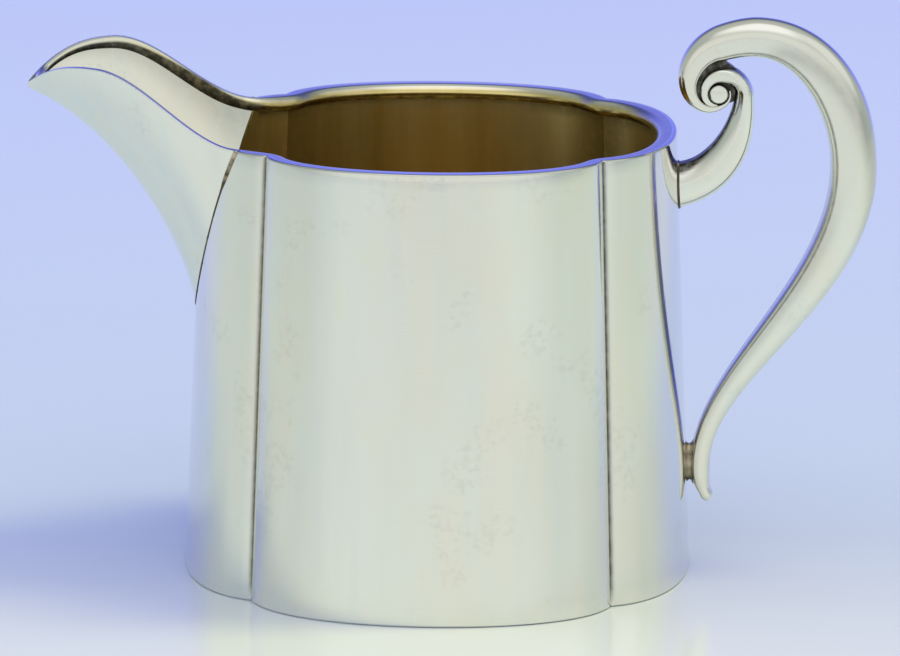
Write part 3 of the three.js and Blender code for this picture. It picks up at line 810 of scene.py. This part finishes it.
def handle_section(corner, keel, fullness):
    half = []
    for bend in np.linspace(0, QUARTER, OUTER_STEPS):
        half.append((math.cos(bend) ** (2 / fullness), math.sin(bend) ** (2 / fullness)))
    for depth in np.linspace(0, corner, SIDE_STEPS)[1:]:
        half.append((depth, 1.0))
    for share in np.linspace(0, 1, SLOPE_STEPS)[1:]:
        swell = SLOPE_SWELL * math.sin(math.pi * share)
        half.append((corner - (1 + corner) * share - swell, 1 - (1 - keel) * share + swell))
    for share in np.linspace(0, 1, KEEL_STEPS)[1:]:
        half.append((-1.0, keel * (1 - share)))
    return np.array(half + [(depth, -side) for depth, side in reversed(half[1:-1])])


def blended_section(plain, *changes):
    first = handle_section(*plain)
    return first + sum(
        (handle_section(*form) - first) * share[:, None, None] for form, share in changes)


def join(parts):
    return [np.concatenate(values) for values in zip(*parts)]


def rounded_end(line, depths, widths):
    ahead = line[-1] - line[-2]
    ahead = ahead / np.linalg.norm(ahead)
    bends = np.linspace(0, END_TURN * QUARTER, END_STATIONS)[1:]
    end_line = line[-1] + ahead * np.sin(bends)[:, None] * depths[-1] / 2
    end_depths = depths[-1] * np.cos(bends)
    end_widths = widths[-1] * np.cos(bends) ** END_WIDTH_FULLNESS
    return join([(line, depths, widths), (end_line, end_depths, end_widths)])


def casting(line, depths, widths, round_side, sections):
    ahead = np.gradient(line, axis=0)
    ahead /= np.linalg.norm(ahead, axis=1, keepdims=True)
    out = np.stack([-ahead[:, 1], ahead[:, 0]], -1) * round_side
    spots = line[:, None, :] + out[:, None, :] * (sections[..., :1] * depths[:, None, None] / 2)
    sideways = sections[..., 1] * widths[:, None] / 2
    return np.stack([spots[..., 0], sideways, spots[..., 1]], -1)


loop_coil = [values[::-1] for values in coil(
    LOOP_PITCH, COIL_SIDE_DEPTH, LOOP_COIL_SIDE, LOOP_TAPERS, LOOP_COIL_START, LOOP_COIL_CLOSED,
    LOOP_COIL_END, (SHOULDER_WIDTH, COIL_TIP_WIDTH))]
shoulder = loop_coil[0][-1]
shoulder_depth = loop_coil[1][-1]
shoulder_pull = shoulder - loop_coil[0][-2]
shoulder_pull = shoulder_pull / np.linalg.norm(shoulder_pull) * (CREST[0] - shoulder[0]) / 3
loop_line, loop_depths, loop_widths = rounded_end(*join([
    loop_coil,
    stretch(shoulder, shoulder + shoulder_pull, CREST + [(shoulder[0] - CREST[0]) / 3, 0], CREST,
            SHORT_STATIONS, (shoulder_depth, CREST_DEPTH), (SHOULDER_WIDTH, CREST_WIDTH), steady=True),
    stretch(CREST, np.array([CREST_PULL_X, CREST[1]]), np.array([WIDEST[0], WIDEST_PULLS_Z[0]]), WIDEST,
            CURVE_STATIONS, (CREST_DEPTH, WIDEST_DEPTH), (CREST_WIDTH, WIDEST_WIDTH),
            fuller=SHOULDER_FULLER),
    stretch(WIDEST, np.array([WIDEST[0], WIDEST_PULLS_Z[1]]), np.array([FOOT[0], FOOT_PULL_Z]), FOOT,
            CURVE_STATIONS, (WIDEST_DEPTH, FOOT_DEPTH), (WIDEST_WIDTH, FOOT_WIDTH)),
    stretch(FOOT, FOOT - [0, FOOT_PULL_DOWN], TAIL + TAIL_PULL, TAIL,
            SHORT_STATIONS, (FOOT_DEPTH, TAIL_DEPTH), (FOOT_WIDTH, TAIL_WIDTH)),
]))
coil_degrees = np.linspace(LOOP_COIL_END, LOOP_COIL_START, COIL_STATIONS)
loop_degrees = np.concatenate([coil_degrees, np.zeros(len(loop_line) - COIL_STATIONS)])
loop_sections = blended_section(
    LOOP_SECTION, (LOOP_COIL_SECTION, ease(loop_degrees, *LOOP_COIL_BLEND)),
    (LOOP_FOOT_SECTION, ease(loop_line[:, 1], *LOOP_FOOT_BLEND)),
)
loop_rings = casting(loop_line, loop_depths, loop_widths, 1, loop_sections)
silver_casting = silver_finish("silver_casting", polish=0.12, streaks=0.35, specks=0.06, satin=0.0)
handle_loop = make_piece("handle_loop", *capped(loop_rings), silver_casting)


def eye_shadow(points, reach):
    from_eye = np.hypot(points[..., 0] - EYE[0], points[..., 2] - EYE[1])
    return 1 - ease(from_eye, EYE_DARK, reach)


section_points = np.arange(len(loop_sections[0]))
dark_from = OUTER_STEPS + SIDE_STEPS + SLOPE_STEPS - SLOPE_STEPS_DARK
dark_to = dark_from + 2 * (KEEL_STEPS - 1)
inner_points = (section_points >= dark_from) & (section_points <= dark_to)
corner_points = np.zeros(len(inner_points))
corner_point = OUTER_STEPS + SIDE_STEPS - 2
corner_points[[corner_point, -corner_point]] = 1
# Painted shade: darker near the eye of the scroll and along the inner ridge, a dark line at the
# section's corner, and darker inner halves of the sides lower down. Painted reflection: a dark band
# running diagonally across the loop from the crest down.
loop_keel_shade = np.maximum(eye_shadow(loop_rings, LOOP_EYE_SHADOW), LOOP_KEEL_SHADE) * inner_points
low_on_loop = ease(loop_line[:, 1], *LOOP_SIDE_HEIGHT)[:, None]
loop_side_shade = LOOP_SIDE_SHADE * low_on_loop * ease(-loop_sections[..., 0], *LOOP_SIDE_SPAN)
past_crest = (np.arange(len(loop_line)) - COIL_STATIONS - SHORT_STATIONS)[:, None] / CURVE_STATIONS
from_band = loop_sections[..., 0] - LOOP_BAND_DRIFT[0] - LOOP_BAND_DRIFT[1] * past_crest
in_band = np.exp(-((from_band / LOOP_BAND_HALF) ** 2)) * ease(past_crest, *LOOP_BAND_START)
loop_band_reflection = LOOP_BAND_REFLECTION * in_band * (1 - ease(past_crest, *LOOP_BAND_END))
loop_shade_and_reflection = np.maximum(loop_side_shade, loop_band_reflection)
loop_painted_shade_and_reflection = np.maximum(np.maximum(loop_keel_shade, loop_shade_and_reflection), LOOP_CORNER_SHADE * corner_points)
mark(handle_loop, "tarnish_and_shade", loop_painted_shade_and_reflection)
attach(handle_loop, "root")
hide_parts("handle_loop")


# Handle strut
# A second casting that springs from the wall below the rim, turns up and coils over the bead
# inside the loop's coil. It is soldered to the wall and to the loop.
STRUT_ROOT_Z = 62.7
STRUT_BURIED = 0.45
STRUT_ROOT_DEPTH = 7.2
STRUT_ROOT_WIDTH = 6.0
STRUT_ROOT_PULL = np.array([0.65, 0.06])
STRUT_TOP_PULL = 0.5
STRUT_FULLER = 0.6
STRUT_PITCH = 2.4
STRUT_COIL_START = 0
STRUT_COIL_CLOSED = 140
STRUT_COIL_END = 265
STRUT_COIL_DEPTH = 3.0
STRUT_TAPERS = (0, 0.27)
STRUT_COIL_WIDTH = 5.2
STRUT_TIP_WIDTH = 3.4
STRUT_SECTION = (-0.1, 0.42, 2.6)
STRUT_COIL_SECTION = (-0.9, 0.85, 4.5)
STRUT_COIL_BLEND = (10, 80)
STRUT_WALL_SHADE = 1.0
STRUT_WALL_SHADE_DEPTH = (0.72, 0.94)
STRUT_WALL_SHADE_SPREAD = 0.22
STRUT_WALL_SHADE_REACH = (0.8, 5.0)
STRUT_WALL_SHADE_TURN = (40, 5)
STRUT_COIL_SHADE = 0.8
STRUT_COIL_SHADE_DEPTH = (0.8, 0.98)
STRUT_COIL_SHADE_TURN = (5, 50)
STRUT_KEEL_SHADE = 0.48
STRUT_EYE_SHADOW = 5.6
STRUT_SEAM_RADIUS = 0.26
STRUT_SEAM_FLUX = 0.7
strut_coil = coil(
    STRUT_PITCH, STRUT_COIL_DEPTH, STRUT_COIL_START, STRUT_TAPERS, STRUT_COIL_START, STRUT_COIL_CLOSED,
    STRUT_COIL_END, (STRUT_COIL_WIDTH, STRUT_TIP_WIDTH))
strut_root = np.array([half_width_at(STRUT_ROOT_Z) - STRUT_BURIED, STRUT_ROOT_Z])
strut_top = strut_coil[0][0]
strut_span = strut_top - strut_root
strut_start = (strut_root[None, :], np.array([STRUT_ROOT_DEPTH]), np.array([STRUT_ROOT_WIDTH]))
strut_line, strut_depths, strut_widths = join([
    strut_start,
    stretch(strut_root, strut_root + STRUT_ROOT_PULL * strut_span,
            strut_top - [0, STRUT_TOP_PULL * strut_span[1]], strut_top, CURVE_STATIONS,
            (STRUT_ROOT_DEPTH, strut_coil[1][0]), (STRUT_ROOT_WIDTH, STRUT_COIL_WIDTH),
            steady=True, fuller=STRUT_FULLER),
    [values[1:] for values in strut_coil],
])
strut_turned = np.linspace(STRUT_COIL_START, STRUT_COIL_END, COIL_STATIONS)
strut_degrees = np.concatenate([np.zeros(CURVE_STATIONS + 1), strut_turned[1:]])
strut_coiled = ease(strut_degrees, *STRUT_COIL_BLEND)
strut_sections = blended_section(STRUT_SECTION, (STRUT_COIL_SECTION, strut_coiled))
strut_rings = casting(strut_line, strut_depths, strut_widths, -1, strut_sections)
handle_strut = make_piece("handle_strut", *capped(strut_rings), silver_casting)
# Painted shade: darker on the strut's inner side near the wall, along its inner ridge and near the eye,
# and along the edges of its coil.
by_wall = 1 - ease(strut_rings[..., 0] - strut_root[0], *STRUT_WALL_SHADE_REACH)
below_coil = ease(strut_degrees, *STRUT_WALL_SHADE_TURN)[:, None]
inner_side = ease(STRUT_WALL_SHADE_SPREAD * by_wall - strut_sections[..., 0], *STRUT_WALL_SHADE_DEPTH)
strut_wall_shade = STRUT_WALL_SHADE * below_coil * inner_side
coil_edges = np.maximum(ease(strut_sections[..., 0], *STRUT_COIL_SHADE_DEPTH), corner_points)
strut_coil_shade = STRUT_COIL_SHADE * ease(strut_degrees, *STRUT_COIL_SHADE_TURN)[:, None] * coil_edges
strut_keel_shade = np.maximum(eye_shadow(strut_rings, STRUT_EYE_SHADOW), STRUT_KEEL_SHADE) * inner_points
mark(handle_strut, "tarnish_and_shade", np.maximum(np.maximum(strut_wall_shade, strut_keel_shade), strut_coil_shade))
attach(handle_strut, "root")
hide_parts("handle_strut")

root_ring = strut_rings[0] * [0, 1, 1]
root_turn = np.arcsin(root_ring[:, 1] / half_width_at(root_ring[:, 2]))
root_ring[:, 0] = half_width_at(root_ring[:, 2]) * np.cos(root_turn)
root_ring = np.vstack([root_ring, root_ring[:2]])
root_radii = np.full(len(root_ring), STRUT_SEAM_RADIUS)
root_seam = make_piece("strut_seam", *bead_along(root_ring, root_radii, SEAM_SIDES), solder)
mark(root_seam, "flux", np.full((len(root_ring), SEAM_SIDES), STRUT_SEAM_FLUX))
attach(root_seam, "root")


# Volute bead and web
# A round domed bead sits in the eye of the scroll. The arms of the scroll are cast on a thin web
# that closes the channel between them; the web is painted near-black as painted shade in the channel.
BEAD_HALF_WIDTH = 2.3
BEAD_DOME = 0.3
BEAD_SIDES = 40
BEAD_STEPS = 9
BEAD_HUB = 0.06
BEAD_EDGE = (1.3, 1.5)
BEAD_EDGE_SHADE = 0.95
bead_profile = [(BEAD_RADIUS * math.sin(bend), BEAD_HALF_WIDTH - BEAD_DOME * (1 - math.cos(bend)))
                for bend in np.linspace(BEAD_HUB, QUARTER, BEAD_STEPS)]
bead_profile = [(radius, -side) for radius, side in bead_profile] + bead_profile[::-1]
bead_spins = np.linspace(0, 2 * math.pi, BEAD_SIDES, endpoint=False)
bead_rings = np.stack([
    np.stack([EYE[0] + radius * np.cos(bead_spins), side + 0 * bead_spins,
              EYE[1] + radius * np.sin(bead_spins)], -1) for radius, side in bead_profile
])
volute_bead = make_piece("volute_bead", *capped(bead_rings), silver_casting)
# Painted shade: a dark ring round the bead's edge where it sits in the coil.
bead_edge_shade = [BEAD_EDGE_SHADE * ease(radius, *BEAD_EDGE) for radius, _ in bead_profile]
mark(volute_bead, "tarnish_and_shade", np.outer(bead_edge_shade, np.ones(BEAD_SIDES)))
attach(volute_bead, "root")
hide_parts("volute_bead")

WEB_HALF = 0.7
WEB_SIDES = 144
WEB_SHARES = (0.2, 0.6, 1)
WEB_SHADE = 0.98
WEB_CORNER = ((-55, 2.0), (-5, 3.4), (40, 4.6), (60, 4.75), (74, 5.0), (82, 5.6), (92, 6.0))
web_turn = np.linspace(0, 360, WEB_SIDES, endpoint=False) + WEB_CORNER[0][0]
loop_middle = np.hypot(*(loop_coil[0] - EYE).T)
web_edge = np.where(
    web_turn < WEB_CORNER[-1][0], np.interp(web_turn, *zip(*WEB_CORNER)),
    np.interp(web_turn, coil_degrees[::-1], loop_middle[::-1]),
)
web_profile = [(share, -WEB_HALF) for share in WEB_SHARES]
web_profile += [(share, WEB_HALF) for share in reversed(WEB_SHARES)]
web_rings = []
for share, side in web_profile:
    web_rings.append(np.stack([
        EYE[0] + web_edge * share * np.cos(np.radians(web_turn)), side + 0 * web_turn,
        EYE[1] + web_edge * share * np.sin(np.radians(web_turn)),
    ], -1))
volute_web = make_piece("volute_web", *capped(np.stack(web_rings)), silver_casting)
mark(volute_web, "tarnish_and_shade", np.full((len(web_rings), WEB_SIDES), WEB_SHADE))
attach(volute_web, "root")


# Lower solder pad
# The lump of solder that holds the loop's foot off the wall. It is drawn in at its waist, pale
# where it was wiped and brown where flux stayed on it.
PAD_HEIGHT = 7.6
PAD_LIFT = 0.2
PAD_WIDTH = 3.2
PAD_STATIONS = 9
PAD_SIDES = 32
PAD_BURIED = 0.25
PAD_OVERLAP = 0.45
PAD_WAIST = 0.22
PAD_FULLNESS = 0.7
PAD_FLUX = (-0.4, 0.8)
PAD_FLUX_HEIGHT = (1.5, -2.5)
pad_from = half_width_at(FOOT[1]) - PAD_BURIED
pad_to = FOOT[0] - FOOT_DEPTH / 2 + PAD_OVERLAP
pad_spins = np.linspace(0, 2 * math.pi, PAD_SIDES, endpoint=False)
pad_rings = []
for share in np.linspace(0, 1, PAD_STATIONS):
    waist = 1 - PAD_WAIST * math.sin(math.pi * share)
    bulge_y = np.sign(np.cos(pad_spins)) * np.abs(np.cos(pad_spins)) ** PAD_FULLNESS
    bulge_z = np.sign(np.sin(pad_spins)) * np.abs(np.sin(pad_spins)) ** PAD_FULLNESS
    wall_slant = half_width_at(FOOT[1] + bulge_z * PAD_HEIGHT / 2) - half_width_at(FOOT[1])
    pad_rings.append(np.stack([
        pad_from + (pad_to - pad_from) * share + wall_slant * (1 - share),
        bulge_y * PAD_WIDTH / 2 * waist, FOOT[1] + PAD_LIFT + bulge_z * PAD_HEIGHT / 2 * waist,
    ], -1))
solder_pad = make_piece("lower_solder_pad", *capped(np.stack(pad_rings)), solder)
pad_low = ease(np.stack(pad_rings)[..., 2] - FOOT[1], *PAD_FLUX_HEIGHT)
mark(solder_pad, "flux", PAD_FLUX[0] + (PAD_FLUX[1] - PAD_FLUX[0]) * pad_low)
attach(solder_pad, "root")
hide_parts("lower_solder_pad")


# Table
# A sheet of smooth pale board with a gloss, which mirrors the jug and the lavender behind it faintly.
# In the middle strip its colour is painted darker and bluer towards the back: painted reflection of the
# lavender.
TABLE_HALF = 4.0
BOARD_NEAR = (0.70, 0.75, 0.86, 1)
BOARD_SIDE = (0.72, 0.79, 0.88, 1)
BOARD_MIDDLE = (0.58, 0.67, 0.84, 1)
BOARD_FAR = (0.58, 0.65, 0.98, 1)
BOARD_CENTRAL = (0.26, 0.1)
BOARD_BEHIND = (-0.05, 0.04)
BOARD_FAR_BACK = (0.05, 0.55)
BOARD_ROUGHNESS = 0.14
FIBRE_ROUGHNESS = 0.03


def soft_ramp(node, value, low, high):
    ranged = node("ShaderNodeMapRange", {"Value": value, "From Min": low, "From Max": high},
                  interpolation_type="SMOOTHSTEP")
    return ranged.outputs["Result"]


board = bpy.data.materials.new("board")
node = add_nodes(board)
spot = node("ShaderNodeSeparateXYZ", {"Vector": node("ShaderNodeTexCoord").outputs["Object"]})
depth = spot.outputs["Y"]
aside = node("ShaderNodeMath", {0: spot.outputs["X"]}, operation="ABSOLUTE").outputs["Value"]
central = soft_ramp(node, aside, *BOARD_CENTRAL)
behind_jug = soft_ramp(node, depth, *BOARD_BEHIND)
far_back = ramp(node, depth, *BOARD_FAR_BACK)
fibres = node("ShaderNodeTexNoise", {"Scale": 900, "Detail": 2}).outputs["Fac"]
# Painted reflection: in the middle strip the board's colour turns darker and bluer behind the jug and
# further back.
front_colour = blend_colours(node, central, BOARD_SIDE, BOARD_NEAR)
near_colour = blend_colours(node, times(node, behind_jug, central), front_colour, BOARD_MIDDLE)
board_surface = node("ShaderNodeBsdfPrincipled", {
    "Base Color": blend_colours(node, times(node, far_back, central), near_colour, BOARD_FAR),
    "Roughness": plus(node, times(node, fibres, FIBRE_ROUGHNESS), BOARD_ROUGHNESS),
    "Specular IOR Level": 0.5,
})
node("ShaderNodeOutputMaterial", {"Surface": board_surface.outputs["BSDF"]})
table_mesh = bpy.data.meshes.new("table")
table_mesh.from_pydata(
    [(-TABLE_HALF, -TABLE_HALF, 0), (TABLE_HALF, -TABLE_HALF, 0), (TABLE_HALF, TABLE_HALF, 0),
     (-TABLE_HALF, TABLE_HALF, 0)], [], [(0, 1, 2, 3)])
table_mesh.materials.append(board)
table = bpy.data.objects.new("table", table_mesh)
bpy.context.scene.collection.objects.link(table)


# Studio light
# A tent of pale cloth all round, lavender-blue behind the jug and greenish white in front, with
# two soft glows high up in it. A soft box overhead and one on each side light the table.
TENT_FRONT = (
    (0.0, (0.84, 0.85, 0.78, 1)), (0.3, (0.82, 0.84, 0.77, 1)), (0.5, (0.68, 0.71, 0.64, 1)),
    (0.68, (0.48, 0.52, 0.44, 1)), (1.0, (0.46, 0.51, 0.50, 1)),
)
TENT_ASIDE = (
    (0.0, (0.50, 0.56, 0.52, 1)), (0.3, (0.47, 0.52, 0.45, 1)), (0.55, (0.43, 0.49, 0.47, 1)),
    (1.0, (0.54, 0.56, 0.50, 1)),
)
TENT_BACK = (
    (0.0, (0.40, 0.46, 1.1, 1)), (0.25, (0.24, 0.27, 1.1, 1)), (0.42, (0.11, 0.13, 0.46, 1)),
    (0.68, (0.09, 0.11, 0.19, 1)), (0.93, (0.46, 0.51, 0.50, 1)),
)
TENT_BACK_FROM = (0.2, 0.85)
TENT_FRONT_FROM = (-0.40, -0.86)
OVERHEAD_GLOW = ((1.12, 1.12, 1.08, 1), (0.03, -0.51, 0.86), 0.82, 0.97)
RIGHT_GLOW = ((0.84, 0.86, 0.80, 1), (0.73, -0.33, 0.6), 0.86, 0.97)
tent = bpy.data.worlds.new("tent")
bpy.context.scene.world = tent
node = add_nodes(tent)
tent_way = node("ShaderNodeTexCoord").outputs["Generated"]
way = node("ShaderNodeSeparateXYZ", {"Vector": tent_way})


def by_height(stops):
    made = node("ShaderNodeValToRGB", {"Fac": way.outputs["Z"]})
    stop_list = made.color_ramp.elements
    while len(stop_list) < len(stops):
        stop_list.new(1.0)
    for stop, (place, colour) in zip(stop_list, stops):
        stop.position = place
        stop.color = colour
    return made.outputs["Color"]


behind = soft_ramp(node, way.outputs["Y"], *TENT_BACK_FROM)
ahead = soft_ramp(node, way.outputs["Y"], *TENT_FRONT_FROM)
before = blend_colours(node, ahead, by_height(TENT_ASIDE), by_height(TENT_FRONT))
tent_colour = blend_colours(node, behind, before, by_height(TENT_BACK))
for glow_colour, glow_way, glow_edge, glow_core in (OVERHEAD_GLOW, RIGHT_GLOW):
    to_glow = node("ShaderNodeVectorMath", {0: tent_way, 1: glow_way}, operation="DOT_PRODUCT")
    glow = soft_ramp(node, to_glow.outputs["Value"], glow_edge, glow_core)
    tent_colour = blend_colours(node, glow, tent_colour, glow_colour)

tent_light = node("ShaderNodeBackground", {"Color": tent_colour, "Strength": 1.0})
node("ShaderNodeOutputWorld", {"Surface": tent_light.outputs["Background"]})

LAMP_TARGET = Vector((0, 0, 0.04))
SOFT_BOXES = (
    ("over", (0.0, 0.1, 1.2), (1.0, 1.0), 2.4, (1.0, 0.98, 0.92)),
    ("right", (0.9, 0.1, 1.8), (0.4, 1.2), 18.0, (1.0, 0.92, 0.32)),
    ("left", (-1.6, -0.1, 1.0), (1.4, 1.4), 6.0, (0.85, 0.9, 1.0)),
)
for box_name, spot, size, power, colour in SOFT_BOXES:
    lamp = bpy.data.lights.new("soft_box_" + box_name, "AREA")
    lamp.shape = "RECTANGLE"
    lamp.size, lamp.size_y = size
    lamp.energy = power
    lamp.color = colour
    soft_box = bpy.data.objects.new("soft_box_" + box_name, lamp)
    soft_box.visible_glossy = False
    away = Vector(spot) - LAMP_TARGET
    soft_box.matrix_world = Matrix.Translation(spot) @ away.to_track_quat("Z", "Y").to_matrix().to_4x4()
    bpy.context.scene.collection.objects.link(soft_box)


# Camera
# A long lens, a metre away and about thirteen degrees above the table. It looks at the jug's
# side, two degrees off square.
CAMERA_DISTANCE = 1000.0
CAMERA_AZIMUTH = math.radians(1.928)
CAMERA_ELEVATION = math.radians(13.395)
CAMERA_ROLL = math.radians(0.424)
CAMERA_TARGET = np.array([1.809, 0.0, 38.53])
FOCUS_PIXELS = 6201.7
PICTURE_WIDTH = 900
SENSOR_WIDTH = 36.0
NEAREST_SEEN = 0.01
back = np.array([
    math.sin(CAMERA_AZIMUTH) * math.cos(CAMERA_ELEVATION),
    -math.cos(CAMERA_AZIMUTH) * math.cos(CAMERA_ELEVATION),
    math.sin(CAMERA_ELEVATION),
])
level = np.cross(-back, [0, 0, 1])
level /= np.linalg.norm(level)
upright = np.cross(level, -back)
right = level * math.cos(CAMERA_ROLL) + upright * math.sin(CAMERA_ROLL)
up = -level * math.sin(CAMERA_ROLL) + upright * math.cos(CAMERA_ROLL)
place = (CAMERA_TARGET + back * CAMERA_DISTANCE) * MM
lens = bpy.data.cameras.new("camera")
lens.sensor_fit = "HORIZONTAL"
lens.sensor_width = SENSOR_WIDTH
lens.lens = FOCUS_PIXELS / PICTURE_WIDTH * SENSOR_WIDTH
lens.clip_start = NEAREST_SEEN
camera = bpy.data.objects.new("camera", lens)
camera.matrix_world = Matrix([
    (right[0], up[0], back[0], place[0]),
    (right[1], up[1], back[1], place[1]),
    (right[2], up[2], back[2], place[2]),
    (0, 0, 0, 1),
])
bpy.context.scene.collection.objects.link(camera)
bpy.context.scene.camera = camera
bpy.context.scene.view_settings.view_transform = "Standard"
